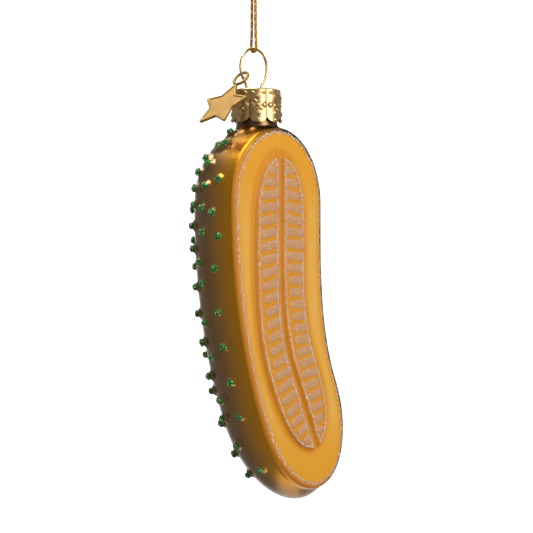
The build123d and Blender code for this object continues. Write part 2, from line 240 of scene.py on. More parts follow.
def points_of(piece):
    """The vertices of a piece, one row each."""
    flat = np.empty(len(piece.data.vertices) * 3)
    piece.data.vertices.foreach_get("co", flat)
    return flat.reshape(-1, 3)


def set_points(piece, points):
    """Moves the vertices of a piece."""
    piece.data.vertices.foreach_set("co", points.ravel())
    piece.data.update()


def store(piece, name, values):
    """Keeps one number for each vertex, for the piece's material."""
    attribute = piece.data.attributes.new(name, "FLOAT", "POINT")
    attribute.data.foreach_set("value", values.astype(np.float32))


def new_piece(name, data):
    """An object for a mesh, curve, lamp or camera, put in the scene."""
    piece = bpy.data.objects.new(name, data)
    bpy.context.scene.collection.objects.link(piece)
    return piece


def new_mesh(name, points, faces):
    """A piece from its points and faces."""
    mesh = bpy.data.meshes.new(name)
    mesh.from_pydata(points, [], faces)
    return new_piece(name, mesh)


def added(primitive, place, **settings):
    """A primitive whose points are moved to its place, so that its object stays at the origin."""
    bpy.ops.object.select_all(action="DESELECT")
    primitive(location=(0, 0, 0), **settings)
    piece = bpy.context.object
    set_points(piece, points_of(piece) + np.array(place))
    return piece


def wrapped_grid(name, columns, rows, place):
    """A grid whose points are moved to place(u, v), where u and v run from 0 to 1, with its seams closed."""
    add_grid = bpy.ops.mesh.primitive_grid_add
    piece = added(add_grid, (0.5, 0.5, 0), x_subdivisions=columns, y_subdivisions=rows, size=1)
    piece.name = name
    across, along, _ = points_of(piece).T
    set_points(piece, place(across, along))
    merge(piece)
    return piece


def select_only(*pieces):
    """Selects these pieces and makes the first of them active."""
    bpy.ops.object.select_all(action="DESELECT")
    for piece in pieces:
        piece.select_set(True)
    bpy.context.view_layer.objects.active = pieces[0]


def merge(piece):
    """Closes seams and poles, and turns all faces outwards."""
    select_only(piece)
    bpy.ops.object.mode_set(mode="EDIT")
    bpy.ops.mesh.select_all(action="SELECT")
    bpy.ops.mesh.remove_doubles(threshold=SEAM)
    bpy.ops.mesh.normals_make_consistent(inside=False)
    bpy.ops.object.mode_set(mode="OBJECT")


def apply_modifier(piece, kind, **settings):
    """Adds one modifier to a piece and applies it."""
    select_only(piece)
    modifier = piece.modifiers.new(kind.title(), kind)
    for key, value in settings.items():
        setattr(modifier, key, value)
    bpy.ops.object.modifier_apply(modifier=modifier.name)


def combine(piece, operation, tool):
    """Unites a piece with a tool or cuts it by one, and removes the tool."""
    apply_modifier(piece, "BOOLEAN", operation=operation, object=tool, solver="MANIFOLD")
    bpy.data.objects.remove(tool)


def joined(first, *others):
    """Joins pieces into the first one."""
    select_only(first, *others)
    bpy.ops.object.join()
    return first


def smooth(piece, degrees=None):
    """Shades a piece smooth, all over or only across edges flatter than an angle."""
    select_only(piece)
    if degrees is None:
        bpy.ops.object.shade_smooth()
    else:
        bpy.ops.object.shade_smooth_by_angle(angle=math.radians(degrees))


def dress(piece, material, body, node):
    """Gives a finished piece its material and its body, and hides the solid that it stands for."""
    piece.data.materials.clear()
    piece.data.materials.append(material)
    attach(piece, body)
    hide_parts(node)


def share_between(low, high, values):
    """0 up to low, 1 from high on and an even rise between."""
    return np.clip((values - low) / (high - low), 0, 1)


def smooth_step(low, high, values):
    """0 up to low, 1 from high on and a soft rise between."""
    share = share_between(low, high, values)
    return share * share * (3 - 2 * share)


def unit(rows):
    """Rows scaled to a length of one."""
    return rows / np.linalg.norm(rows, axis=1, keepdims=True)


def distances_along(line):
    """How far along a line each of its points lies."""
    return np.concatenate([[0], np.cumsum(np.linalg.norm(np.diff(line, axis=0), axis=1))])


def points_at(line, lengths, places):
    """Points at these distances along a line."""
    return np.stack([np.interp(places, lengths, column) for column in line.T], axis=1)


def hermite(start, end, leave, arrive, share):
    """Points of a curve between two points, with its directions there as long as its chord."""
    chord = np.linalg.norm(end - start, axis=-1, keepdims=True)
    t = np.asarray(share)[..., None]
    return (
        (2 * t**3 - 3 * t**2 + 1) * start + (t**3 - 2 * t**2 + t) * chord * leave
        + (3 * t**2 - 2 * t**3) * end + (t**3 - t**2) * chord * arrive
    )


class FaceShape:
    """The cut face as curves in its own plane, X to the right and Z up, from the glass sizes."""

    # shares of one side's outline that the two ends take, and how fast the pods' tips fall away
    top_share, bottom_share = 0.26, 0.28
    top_fall, bottom_fall = 0.3, 0.5
    right, down = np.array([1.0, 0.0]), np.array([0.0, -1.0])

    def __init__(self, glass):
        self.glass = glass
        lean = glass.bottom_lean
        self.along = np.array([math.sin(lean), -math.cos(lean)])
        self.across = np.array([math.cos(lean), math.sin(lean)])
        self.top = np.array([glass.top_x, glass.top_z])
        self.bottom = np.array([glass.bottom_x, glass.bottom_z])
        self.sizes = np.array([glass.top_half, glass.top_end, glass.bottom_half, glass.bottom_end])
        self.pod_rise = glass.top_end - glass.pod_top_inset
        self.pod_drop = glass.bottom_end - glass.pod_bottom_inset

    def outline(self, side, share, sizes):
        """Points down one side (-1 left, 1 right) of an outline with these four sizes."""
        half_top, end_top, half_bottom, end_bottom = np.moveaxis(sizes, -1, 0)[..., None]
        side = np.asarray(side)[..., None]
        low = 1 - self.bottom_share
        rise = share_between(0, self.top_share, share)[..., None] * QUARTER
        fall = share_between(low, 1, share)[..., None] * QUARTER
        top_arc = self.top + side * half_top * np.sin(rise) * self.right - end_top * np.cos(rise) * self.down
        bottom_arc = self.bottom + side * half_bottom * np.cos(fall) * self.across
        bottom_arc = bottom_arc + end_bottom * np.sin(fall) * self.along
        flank = hermite(
            self.top + side * half_top * self.right, self.bottom + side * half_bottom * self.across,
            self.down, self.along, share_between(self.top_share, low, share),
        )
        in_top, in_bottom = (share < self.top_share)[..., None], (share > low)[..., None]
        return np.where(in_top, top_arc, np.where(in_bottom, bottom_arc, flank))

    def closed_outline(self, steps):
        """The whole glitter line round the face, without its first point again."""
        share = np.linspace(0, 1, steps + 1)
        sizes = np.broadcast_to(self.sizes, (steps + 1, 4))
        left, right = (self.outline(np.full(steps + 1, float(side)), share, sizes) for side in SIDES)
        return np.concatenate([left[:-1], right[:0:-1]])

    def spine(self, steps):
        """Points and directions along the middle of the face, at even distances, with those distances."""
        curve = hermite(self.top, self.bottom, self.down, self.along, np.linspace(0, 1, steps + 1))
        head, foot = self.top - self.down * self.pod_rise, self.bottom + self.along * self.pod_drop
        line = np.concatenate([[head], curve, [foot]])
        lengths = distances_along(line)
        even = np.linspace(0, lengths[-1], steps + 1)
        points = points_at(line, lengths, even)
        return points, unit(np.gradient(points, axis=0)), even

    def pod(self, side, inset, steps):
        """A closed outline of one pod, drawn in by one amount."""
        glass, down, along = self.glass, self.down, self.along
        gap = side * (glass.pod_gap / 2 + inset)
        width = side * (glass.pod_half - glass.pod_gap / 2 - 2 * inset)
        inner_top = self.top + [gap, self.pod_rise - glass.pod_top]
        inner_bottom = self.bottom + along * (self.pod_drop - glass.pod_bottom) + self.across * gap
        tip_top = inner_top - down * (glass.pod_top - inset)
        tip_bottom = inner_bottom + along * (glass.pod_bottom - inset)
        outer_top, outer_bottom = inner_top + [width, 0], inner_bottom + self.across * width
        leave = np.array([side, -self.top_fall]) / math.hypot(1, self.top_fall)
        arrive = (self.bottom_fall * along - side * self.across) / math.hypot(1, self.bottom_fall)
        # from point to point round the pod, with the directions in which each run leaves and arrives
        runs = (
            (tip_top, outer_top, leave, down), (outer_top, outer_bottom, down, along),
            (outer_bottom, tip_bottom, along, arrive), (tip_bottom, inner_bottom, -along, -along),
            (inner_bottom, inner_top, -along, -down), (inner_top, tip_top, -down, -down),
        )
        share = np.linspace(0, 1, steps, endpoint=False)
        return np.concatenate([hermite(*run, share) for run in runs])


def inside_distance(points, outline):
    """How far each point lies inside a closed outline, less than nothing outside."""
    nearest = np.full(len(points), np.inf)
    crossings = np.zeros(len(points), int)
    for a, b in zip(outline, np.roll(outline, -1, axis=0)):
        edge = b - a
        share = np.clip(((points - a) @ edge) / max(edge @ edge, TINY), 0, 1)
        nearest = np.minimum(nearest, np.linalg.norm(points - a - share[:, None] * edge, axis=1))
        level = (a[1] > points[:, 1]) != (b[1] > points[:, 1])
        rise = edge[1] if abs(edge[1]) > TINY else TINY
        crossings += level & (points[:, 0] < a[0] + (points[:, 1] - a[1]) * edge[0] / rise)
    return np.where(crossings % 2 == 1, nearest, -nearest)


def box_distance(points, centre, heading, half_length, half_height, corner):
    """How far each point lies inside a rounded bar, less than nothing outside."""
    offset = points - centre
    along = np.abs(offset @ heading) - half_length + corner
    across = np.abs(offset @ np.array([-heading[1], heading[0]])) - half_height + corner
    outside = np.hypot(np.maximum(along, 0), np.maximum(across, 0))
    return corner - outside - np.minimum(np.maximum(along, across), 0)


def bar_cover(points, bars, half_height, corner):
    """How far each point lies inside the nearest of many bars."""
    best = np.full(len(points), FAR_OUT)
    for centre, heading, half_length in bars:
        near = np.linalg.norm(points - centre, axis=1) < half_length + 2 * half_height
        cover = box_distance(points[near], centre, heading, half_length, half_height, corner)
        best[near] = np.maximum(best[near], cover)
    return best


def turned(direction, angle):
    """A flat direction turned left by an angle."""
    cos, sin = math.cos(angle), math.sin(angle)
    return np.array([cos * direction[0] - sin * direction[1], sin * direction[0] + cos * direction[1]])


def seed_bars(shape):
    """Centre, heading and half length of each seed, and of each rib beside it, for both pods."""
    glass = shape.glass
    points, headings, distances = shape.spine(steps=400)
    chance = np.random.default_rng(seed=7)
    askew, shortest = 3, 0.93
    pitch = distances[-1] / (glass.seed_count + 1)
    inner = glass.pod_gap / 2 + glass.seed_margin
    seeds, ribs = [], []
    for side in SIDES:
        for step in range(2 * glass.seed_count + 1):
            distance = pitch * (step / 2 + 0.5)
            middle, along = (points_at(rows, distances, [distance])[0] for rows in (points, headings))
            across = np.array([-along[1], along[0]])
            short = max(glass.pod_top - distance, 0) / glass.pod_top
            short += max(distance - distances[-1] + glass.pod_bottom, 0) / glass.pod_bottom
            reach = glass.pod_half * math.sqrt(max(1 - short * short, 0))
            half = max((reach - glass.seed_margin - inner) / 2, glass.seed_round)
            heading = turned(across, -side * glass.seed_tilt)
            centre = middle + across * side * (inner + half)
            if step % 2:
                heading = turned(heading, math.radians(chance.uniform(-askew, askew)))
                seeds.append((centre, heading, half * chance.uniform(shortest, 1.0)))
            else:
                ribs.append((centre, heading, half + glass.seed_margin / 2))
    return seeds, ribs


def islands(mesh):
    """The points of each separate shell of a solid's mesh."""
    seam_free = bmesh.new()
    seam_free.from_mesh(mesh)
    bmesh.ops.remove_doubles(seam_free, verts=seam_free.verts, dist=SEAM)
    waiting = set(seam_free.verts)
    while waiting:
        stack, shell = [waiting.pop()], []
        while stack:
            vertex = stack.pop()
            shell.append(vertex.co[:])
            linked = {edge.other_vert(vertex) for edge in vertex.link_edges} & waiting
            waiting -= linked
            stack.extend(linked)
        yield np.array(shell)
    seam_free.free()


def wart_spots():
    """Centre and outward direction of each wart's tip, read from the solid dabs of glitter."""
    spots = []
    for shell in islands(frame["nodes"]["wart_glitter"].data):
        reach = np.linalg.norm(shell - (shell.min(0) + shell.max(0)) / 2, axis=1)
        wide = reach > (reach.max() + reach.min()) / 2
        base, tip = shell[wide].mean(0), shell[~wide].mean(0)
        spots.append((base, (tip - base) / np.linalg.norm(tip - base)))
    return sorted(spots, key=lambda spot: tuple(np.round(spot[0], 5)))


def plug(tree, node, inputs):
    """Sets inputs of a node by name or number; each is a value or the socket that feeds it."""
    for key, value in inputs.items():
        if isinstance(value, bpy.types.NodeSocket):
            tree.links.new(value, node.inputs[key])
        else:
            node.inputs[key].default_value = value


def add_node(tree, kind, inputs=None, output=0, **settings):
    """Adds one node with its inputs and settings, and gives one of its outputs."""
    node = tree.nodes.new(kind)
    for key, value in settings.items():
        setattr(node, key, value)
    plug(tree, node, inputs or {})
    return node.outputs[output]


def new_material(name):
    """An empty node material, its tree and its principled shader."""
    material = bpy.data.materials.new(name)
    material.use_nodes = True
    tree = material.node_tree
    return material, tree, tree.nodes["Principled BSDF"]


def glass_lacquer(finish):
    """Blown glass, lacquered: matte airbrushed flesh with painted sheen and painted shade, brushed seeds, and
    a satin metallic rind with painted sheen beside the rim and painted shade on its far side, neck and lower
    end.
    """
    material, tree, shader = new_material("airbrushed_lacquer_on_blown_glass")
    place = add_node(tree, "ShaderNodeTexCoord", output="Object")
    stretched = add_node(tree, "ShaderNodeMapping", {"Vector": place, "Scale": (0.25, 0.25, 1.0)})
    # airbrush mottle 6 mm across, brush marks 0.5 mm wide, and streaks 0.35 mm wide and four times as long
    patterns = (("mottle", place, 6.0, 3.0), ("brush", place, 0.5, 2.0), ("streak", stretched, 0.35, 2.0))
    share = {}
    for name, where, wide_mm, detail in patterns:
        wave = {"Vector": where, "Scale": 1 / (wide_mm * MM), "Detail": detail}
        share[name] = add_node(tree, "ShaderNodeTexNoise", wave)
    for name in ("pod", "seed", "rib", "rim", "depth", "shaded", "bare", "neck", "middle"):
        share[name] = add_node(tree, "ShaderNodeAttribute", output="Fac", attribute_name=name)
    soft = "ShaderNodeMapRange", {"interpolation_type": "SMOOTHSTEP"}
    plus, times, most = [("ShaderNodeMath", {"operation": name}) for name in ("ADD", "MULTIPLY", "MAXIMUM")]
    # each step's name, kind and inputs; a soft one has a value, where it starts and ends, and both results
    steps = (
        ("seed_edge", times, "brush", 0.3), ("seed_edge", plus, "seed", "seed_edge"),
        ("rind_depth", times, "mottle", 3.0), ("rind_depth", plus, "depth", "rind_depth"),
        # darker flesh in the trough round the pods, fading onto them and clouded: partly an airbrushed tone,
        # partly painted shade
        ("shade", soft, "pod", -2.6, 0.0, 0.0, 1.0), ("shade_end", soft, "pod", 0.9, 0.2, 0.0, 1.0),
        ("shade_cloud", soft, "mottle", 0.2, 0.8, 0.7, 1.0),
        ("shade", times, "shade", "shade_end"), ("shade", times, "shade", "shade_cloud"),
        # painted sheen: paler flesh along the middle of the margins, away from the rim and the pods, between
        # two heights, clouded
        ("thin", soft, "pod", -1.2, -3.2, 0.0, 1.0), ("thin_end", soft, "rim", 0.3, 2.2, 0.0, 1.0),
        ("thin_cloud", soft, "mottle", 0.3, 0.7, 0.55, 0.95), ("thin", times, "thin", "thin_end"),
        ("thin", times, "thin", "middle"), ("thin", times, "thin", "thin_cloud"),
        # a little deeper tone on the pods themselves, painted shade along the inside of the rim and in the
        # grooves round the seeds, and the ribs painted back in plain flesh as a painted highlight on the
        # raised ribs
        ("on_pod", soft, "pod", 0.2, 0.9, 0.0, 0.38), ("by_rim", soft, "rim", 1.0, -0.6, 0.0, 0.9),
        ("groove", soft, "seed", -0.55, -0.1, 0.0, 0.4), ("groove_end", soft, "seed", 0.15, 0.0, 0.0, 1.0),
        ("groove", times, "groove", "groove_end"), ("on_rib", soft, "rib", -0.12, 0.08, 0.0, 0.35),
        ("paint", soft, "seed_edge", 0.1, 0.38, 0.0, 0.95), ("streaks", soft, "streak", 0.48, 0.68, 0.0, 0.8),
        # the gold beside the rim, partly painted sheen, turns to brown further back and on the neck
        ("brown", soft, "rind_depth", 2.5, 11.0, 0.0, 1.0), ("brown", most, "brown", "neck"),
        ("bare_edge", soft, "rim", 0.0, -0.25, 0.0, 1.0), ("bare_edge", times, "bare_edge", "bare"),
        ("on_rind", soft, "depth", 0.45, 0.85, 0.0, 1.0), ("on_rind", most, "on_rind", "bare_edge"),
        ("roughness", soft, "on_rind", 0.0, 1.0, 0.46, 0.32),
    )
    for name, (kind, settings), *inputs in steps:
        sockets = {index: share.get(value, value) for index, value in enumerate(inputs)}
        share[name] = add_node(tree, kind, sockets, **settings)
    # each coat's name, the share that it covers, what lies under it and what it is; some coats are painted
    # sheen and painted shade
    coats = (
        # the face: painted sheen on the margins, painted shade round the pods, by the rim and in the grooves,
        # the ribs painted lighter again, then the seeds
        ("face", "thin", "flesh", "flesh_pale"), ("face", "shade", "face", "flesh_deep"),
        ("face", "on_pod", "face", "flesh_deep"), ("face", "by_rim", "face", "flesh_deep"),
        ("face", "groove", "face", "flesh_deep"), ("face", "on_rib", "face", "flesh"),
        ("seeds", "streaks", "seed", "seed_streak"), ("face", "paint", "face", "seeds"),
        # the rind: gold beside the rim, partly painted sheen, under brown, then painted shade
        ("skin", "brown", "rind_gold", "rind"), ("skin", "shaded", "skin", "rind_shade"),
        ("glass", "on_rind", "face", "skin"),
    )
    tone = {name: getattr(finish, name) for name in Finishes.__annotations__}
    for name, cover, under, over in coats:
        sockets = {0: share[cover], 6: tone[under], 7: tone[over]}
        tone[name] = add_node(tree, "ShaderNodeMix", sockets, 2, data_type="RGBA")
    relief = {"Strength": 0.12, "Distance": 0.1 * MM, "Height": share["brush"]}
    plug(tree, shader, {
        "Base Color": tone["glass"], "Metallic": share["on_rind"], "Roughness": share["roughness"],
        "Specular IOR Level": 0.3, "Normal": add_node(tree, "ShaderNodeBump", relief),
    })
    return material


def glitter(name, hex_codes, roughness, metallic):
    """Glued polyester glitter: small mirror-like flakes of several tints."""
    material, tree, shader = new_material(name)
    tint = add_node(tree, "ShaderNodeAttribute", output="Fac", attribute_name="tint")
    tone = add_node(tree, "ShaderNodeValToRGB", {"Fac": tint})
    stops = tone.node.color_ramp.elements
    while len(stops) < len(hex_codes):
        stops.new(0.5)
    tone.node.color_ramp.interpolation = "CONSTANT"
    for index, hex_code in enumerate(hex_codes):
        stops[index].position = index / len(hex_codes)
        stops[index].color = linear(hex_code)
    plug(tree, shader, {"Base Color": tone, "Metallic": metallic, "Roughness": roughness})
    return material


def gold_metal(name, tone, roughness, grain_mm, relief_mm):
    """Gold-plated brass: a warm mirror, dulled by a fine grain of the given size and worn in soft patches."""
    material, tree, shader = new_material(name)
    wear_mm, wear_from, wear_full = 3.0, 0.3, 0.7
    dull, polished, deeper = 1.25, 0.8, 0.8
    place = add_node(tree, "ShaderNodeTexCoord", output="Object")
    # real polishing marks are too fine to show, so the grain is drawn as coarse as it needs to be
    grain, wear = (
        add_node(tree, "ShaderNodeTexNoise", {"Vector": place, "Scale": 1 / (wide_mm * MM), "Detail": detail})
        for wide_mm, detail in ((grain_mm, 3.0), (wear_mm, 2.0))
    )
    spread = {0: wear, 1: wear_from, 2: wear_full, 3: roughness * polished, 4: roughness * dull}
    relief = {"Strength": 0.35, "Distance": relief_mm * MM, "Height": grain}
    tones = {0: wear, 6: [part * deeper for part in tone[:3]] + [1.0], 7: tone}
    plug(tree, shader, {
        "Base Color": add_node(tree, "ShaderNodeMix", tones, 2, data_type="RGBA"), "Metallic": 1.0,
        "Roughness": add_node(tree, "ShaderNodeMapRange", spread),
        "Normal": add_node(tree, "ShaderNodeBump", relief),
    })
    return material


def metallic_thread(finish):
    """Twisted metallic yarn: bright foil on the crowns and a brown in the valleys that is partly core thread
    and partly painted shade.
    """
    material, tree, shader = new_material("twisted_metallic_yarn")
    valley, ridge = 0.15, 0.75
    crown, twist = (
        add_node(tree, "ShaderNodeAttribute", output="Fac", attribute_name=name)
        for name in ("crown", "twist")
    )
    # real turns of foil are too fine to show, so they are drawn as coarse as they need to be
    fibres = add_node(tree, "ShaderNodeMath", {0: twist}, operation="SINE")
    # foil on the crowns; core colour, partly painted shade, in the valleys and under the crossings
    foil = add_node(tree, "ShaderNodeMapRange", {0: crown, 1: valley, 2: ridge})
    tones = {0: foil, 6: finish.thread_core, 7: finish.thread}
    relief = {"Strength": 0.5, "Distance": 0.03 * MM, "Height": fibres}
    plug(tree, shader, {
        "Base Color": add_node(tree, "ShaderNodeMix", tones, 2, data_type="RGBA"),
        "Normal": add_node(tree, "ShaderNodeBump", relief), "Metallic": 0.85, "Roughness": 0.34,
    })
    return material


def stage_white(name):
    """Matte white paper that the camera, mirrors and glass see as clean white, with soft shadows kept."""
    material, tree, shader = new_material(name)
    glow = 0.8
    rays = add_node(tree, "ShaderNodeLightPath").node.outputs
    seen = rays["Is Camera Ray"]
    for ray in ("Is Glossy Ray", "Is Transmission Ray"):
        seen = add_node(tree, "ShaderNodeMath", {0: seen, 1: rays[ray]}, operation="MAXIMUM")
    plug(tree, shader, {
        "Base Color": linear("#F4F4F4"), "Roughness": 0.9, "Emission Color": (1, 1, 1, 1),
        "Emission Strength": add_node(tree, "ShaderNodeMath", {0: seen, 1: glow}, operation="MULTIPLY"),
    })
    return material


def wobble(points, wave, strength):
    """A soft unevenness, so that brushed edges don't run ruler-straight."""
    x, z = points[:, 0] / wave, points[:, 1] / wave
    # how fast each ripple runs to the right and up, and where it starts
    ripples = ((2.3, 1.7, 0.0), (-1.9, 3.1, 1.0), (4.7, 2.9, 2.0))
    return strength * sum(np.sin(over * x + up * z + start) for over, up, start in ripples) / len(ripples)


def face_relief(shape, flat):
    """The face's height at each point, and how far the point lies inside a pod, a seed and a rib."""
    glass = shape.glass
    crown_run, wave, waver = 1.8 * MM, 1.6 * MM, 0.11 * MM
    # a soft trough runs round the pods
    trough, trough_out, trough_width = 0.18 * MM, 1.2 * MM, 0.7 * MM
    # how far inside its edge each form starts to rise and is full
    pod_rise, seed_rise, rib_rise = (0.3 * MM, 0.8 * MM), (-0.2 * MM, 0.5 * MM), (-0.15 * MM, 0.2 * MM)
    pods = np.maximum(*[inside_distance(flat, shape.pod(side, inset=0, steps=24)) for side in SIDES])
    seeds, ribs = seed_bars(shape)
    seed = bar_cover(flat, seeds, glass.seed_height / 2, glass.seed_round) + wobble(flat, wave, waver)
    rib = bar_cover(flat, ribs, glass.rib_width / 2, glass.rib_width / 2)
    on_pod = smooth_step(*pod_rise, pods)
    rim = np.maximum(inside_distance(flat, shape.closed_outline(steps=120)), 0)
    height = glass.face_crown * (1 - np.exp(-rim / crown_run))
    height = height + glass.pod_raise * smooth_step(-glass.pod_slope, 0, pods)
    height = height - trough * np.exp(-((pods + trough_out) / trough_width) ** 2)
    height = height + glass.seed_raise * smooth_step(*seed_rise, seed) * on_pod
    height = height + glass.rib_raise * smooth_step(*rib_rise, rib) * on_pod
    return height, pods, seed, np.where(on_pod > 0, rib, FAR_OUT)


def rind_section(shape, share):
    """Depth and outline sizes, from the face's edge (0) over the rim and round to the back's ridge (1)."""
    glass = shape.glass
    rim_share, front_share = 0.075, 0.3
    growth = np.array([glass.widest_growth, glass.top_growth, glass.widest_growth, glass.bottom_growth])
    edge = share_between(0, rim_share, share) * QUARTER
    side = share_between(rim_share, front_share, share)
    back = share_between(front_share, 1, share) * QUARTER
    depth = glass.rim_roll * (1 - np.cos(edge)) + (glass.widest_depth - glass.rim_roll) * side
    depth = depth + (glass.body_depth - glass.widest_depth) * np.sin(back)
    sizes = shape.sizes + glass.rim_margin - glass.rim_round * (1 - np.sin(edge))[:, None]
    sizes = sizes + growth * np.sin(side * QUARTER)[:, None]
    return depth, sizes * np.cos(back)[:, None]


def build_glass(glass):
    """The blown glass: face and rind as wrapped grids, the neck added and bored, and the warts raised."""
    shape = FaceShape(glass)
    steps, face_columns, rind_rows = 336, 108, 80
    face_y = -glass.face_ahead
    flat_edge = shape.sizes + glass.rim_margin - glass.rim_round

    def face_place(u, v):
        sizes = np.broadcast_to(flat_edge, (len(u), 4))
        left, right = (shape.outline(np.full(len(u), float(side)), v, sizes) for side in SIDES)
        flat = left + (right - left) * u[:, None]
        return np.stack([flat[:, 0], face_y - face_relief(shape, flat)[0], flat[:, 1]], axis=1)

    def rind_place(u, v):
        depth, sizes = rind_section(shape, v)
        flat = shape.outline(np.where(u <= 0.5, -1.0, 1.0), np.where(u <= 0.5, 2 * u, 2 - 2 * u), sizes)
        return np.stack([flat[:, 0], face_y + depth, flat[:, 1]], axis=1)

    face = wrapped_grid("glass_pickle", face_columns, steps, face_place)
    rind = wrapped_grid("glass_rind", 2 * steps, rind_rows, rind_place)
    body = joined(face, rind)
    merge(body)
    add_neck(body, glass)
    soften_join(body, glass)
    raise_warts(body, glass)
    paint_glass(body, shape)
    smooth(body)
    return body


def add_neck(body, glass):
    """Joins the flared neck to the shoulder and bores it."""
    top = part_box("glass_body")[1].z
    radius, flare, base = glass.neck_radius, glass.neck_flare, glass.neck_base
    root, bore_below, lip = 4 * MM, 6 * MM, glass.neck_wall / 2
    columns, arc_points = 96, 9
    arc = np.linspace(0, QUARTER, arc_points)
    profile = [(0, base - root), (radius + flare, base - root), (radius + flare, base)]
    profile += [(radius + flare * (1 - math.sin(a)), base + flare * (1 - math.cos(a))) for a in arc[1:]]
    profile += [(radius - lip * (1 - math.cos(a)), top - lip * (1 - math.sin(a))) for a in arc]
    profile = np.array(profile + [(0, top)])
    last = len(profile) - 1

    def neck_place(u, v):
        ring, level = points_at(profile, np.arange(last + 1), v * last).T
        angle = 2 * math.pi * u
        return np.stack([glass.neck_x + ring * np.cos(angle), ring * np.sin(angle), level], axis=1)

    neck = wrapped_grid("neck", columns, last, neck_place)
    bore = added(
        bpy.ops.mesh.primitive_cylinder_add, (glass.neck_x, 0, top),
        vertices=72, radius=radius - glass.neck_wall, depth=2 * (top - base + bore_below),
    )
    combine(body, "UNION", neck)
    combine(body, "DIFFERENCE", bore)


def soften_join(body, glass):
    """Smooths the glass where the neck's flare runs into the shoulder."""
    below, above, inside, outside = 4.5 * MM, 0.8 * MM, 0.2 * MM, 4.0 * MM
    x, y, z = points_of(body).T
    out = np.hypot(x - glass.neck_x, y)
    chosen = (z > glass.neck_base - below) & (z < glass.neck_base + above)
    chosen &= (out > glass.neck_radius - inside) & (out < glass.neck_radius + outside)
    chosen &= y > -glass.face_ahead + glass.rim_roll / 2
    select_only(body)
    bpy.ops.object.mode_set(mode="EDIT")
    bpy.ops.mesh.select_mode(type="VERT")
    bpy.ops.mesh.select_all(action="DESELECT")
    bpy.ops.object.mode_set(mode="OBJECT")
    body.data.vertices.foreach_set("select", chosen)
    bpy.ops.object.mode_set(mode="EDIT")
    bpy.ops.mesh.vertices_smooth(factor=0.5, repeat=40)
    bpy.ops.object.mode_set(mode="OBJECT")


def raise_warts(body, glass):
    """Draws the rind out to the tip of each wart, and leaves the face, the neck and its bore alone."""
    bore_reach, wart_reach, tip_share = 7 * MM, 4 * MM, 0.2
    points = points_of(body)
    in_neck = np.hypot(points[:, 0] - glass.neck_x, points[:, 1]) < glass.neck_radius
    in_neck &= points[:, 2] > glass.neck_base - bore_reach
    on_rind = (points[:, 1] > -glass.face_ahead + glass.rim_round / 2) & ~in_neck
    for base, axis in wart_spots():
        offset = points - base
        level = offset @ axis
        reach = np.linalg.norm(offset - level[:, None] * axis, axis=1)
        near = on_rind & (reach < glass.wart_radius) & (np.abs(level) < wart_reach)
        if not near.any():
            continue
        foot = level[near][np.argmin(reach[near])]
        profile = 1 - smooth_step(tip_share * glass.wart_radius, glass.wart_radius, reach[near])
        points[near] += axis * (-foot * profile)[:, None]
    set_points(body, points)


def paint_glass(body, shape):
    """Keeps each point's distances in mm from pods, seeds, ribs, rim and face, and the share of each coat, of
    the painted sheen and of the painted shade.
    """
    # how much painted shade the neck and the lower end get
    face_reach, outside_mm, neck_shade, low_shade = 0.5 * MM, -10.0, 0.6, 0.55
    points = points_of(body)
    flat, level, base = points[:, [0, 2]], points[:, 2], shape.glass.neck_base
    depth = points[:, 1] + shape.glass.face_ahead
    on_face = depth < face_reach
    face = flat[on_face]
    distances = (*face_relief(shape, face)[1:], inside_distance(face, shape.closed_outline(steps=120)))
    for name, values in zip(("pod", "seed", "rib", "rim"), distances):
        mark = np.full(len(points), outside_mm)
        mark[on_face] = values / MM
        store(body, name, mark)
    store(body, "depth", depth / MM)
    # where each coat, the painted sheen and the painted shade start and are full, by height, and on the far
    # side by the distance from the spine
    neck_span, shoulder_span = (base - 2 * MM, base + 0.5 * MM), (base - 8 * MM, base - 3 * MM)
    # heights over which the painted sheen on the margins fades in and out
    pale_above, pale_below = (-24 * MM, -42 * MM), (-96 * MM, -80 * MM)
    low_span, side_span = (-96 * MM, -103 * MM), (-1 * MM, 2 * MM)
    spine = shape.spine(steps=60)[0][::-1]
    beside = points[:, 0] - np.interp(level, spine[:, 1], spine[:, 0])
    neck, low_end = smooth_step(*neck_span, level), smooth_step(*low_span, level)
    far_side = smooth_step(*side_span, beside) * (1 - low_end)
    store(body, "middle", smooth_step(*pale_above, level) * smooth_step(*pale_below, level))
    store(body, "neck", neck)
    # painted shade on the rind: the far side, the neck and the lower end are darkened
    store(body, "shaded", np.maximum.reduce([far_side, neck_shade * neck, low_shade * low_end]))
    store(body, "bare", np.maximum(far_side, smooth_step(*shoulder_span, level)))


def strewn(name, pattern, centres, turns, tints):
    """Copies of one small shape in one mesh, each with its own place, turn and tint."""
    corners, sides = pattern
    points = centres[:, None] + np.einsum("nij,kj->nki", turns, corners)
    starts = range(0, len(centres) * len(corners), len(corners))
    faces = [[start + corner for corner in side] for start in starts for side in sides]
    piece = new_mesh(name, points.reshape(-1, 3), faces)
    store(piece, "tint", np.repeat(tints, len(corners)))
    return piece


def grain_pattern(flatness):
    """An eight-sided grain one unit across."""
    half = flatness / 2
    corners = [(0.5, 0, 0), (-0.5, 0, 0), (0, 0.5, 0), (0, -0.5, 0), (0, 0, half), (0, 0, -half)]
    sides = [(0, 2, 4), (2, 1, 4), (1, 3, 4), (3, 0, 4), (2, 0, 5), (1, 2, 5), (3, 1, 5), (0, 3, 5)]
    return np.array(corners), sides


def ball_pattern():
    """A coarse ball of radius one."""
    ball = added(bpy.ops.mesh.primitive_uv_sphere_add, (0, 0, 0), segments=10, ring_count=6, radius=1)
    pattern = points_of(ball), [list(face.vertices) for face in ball.data.polygons]
    bpy.data.objects.remove(ball)
    return pattern


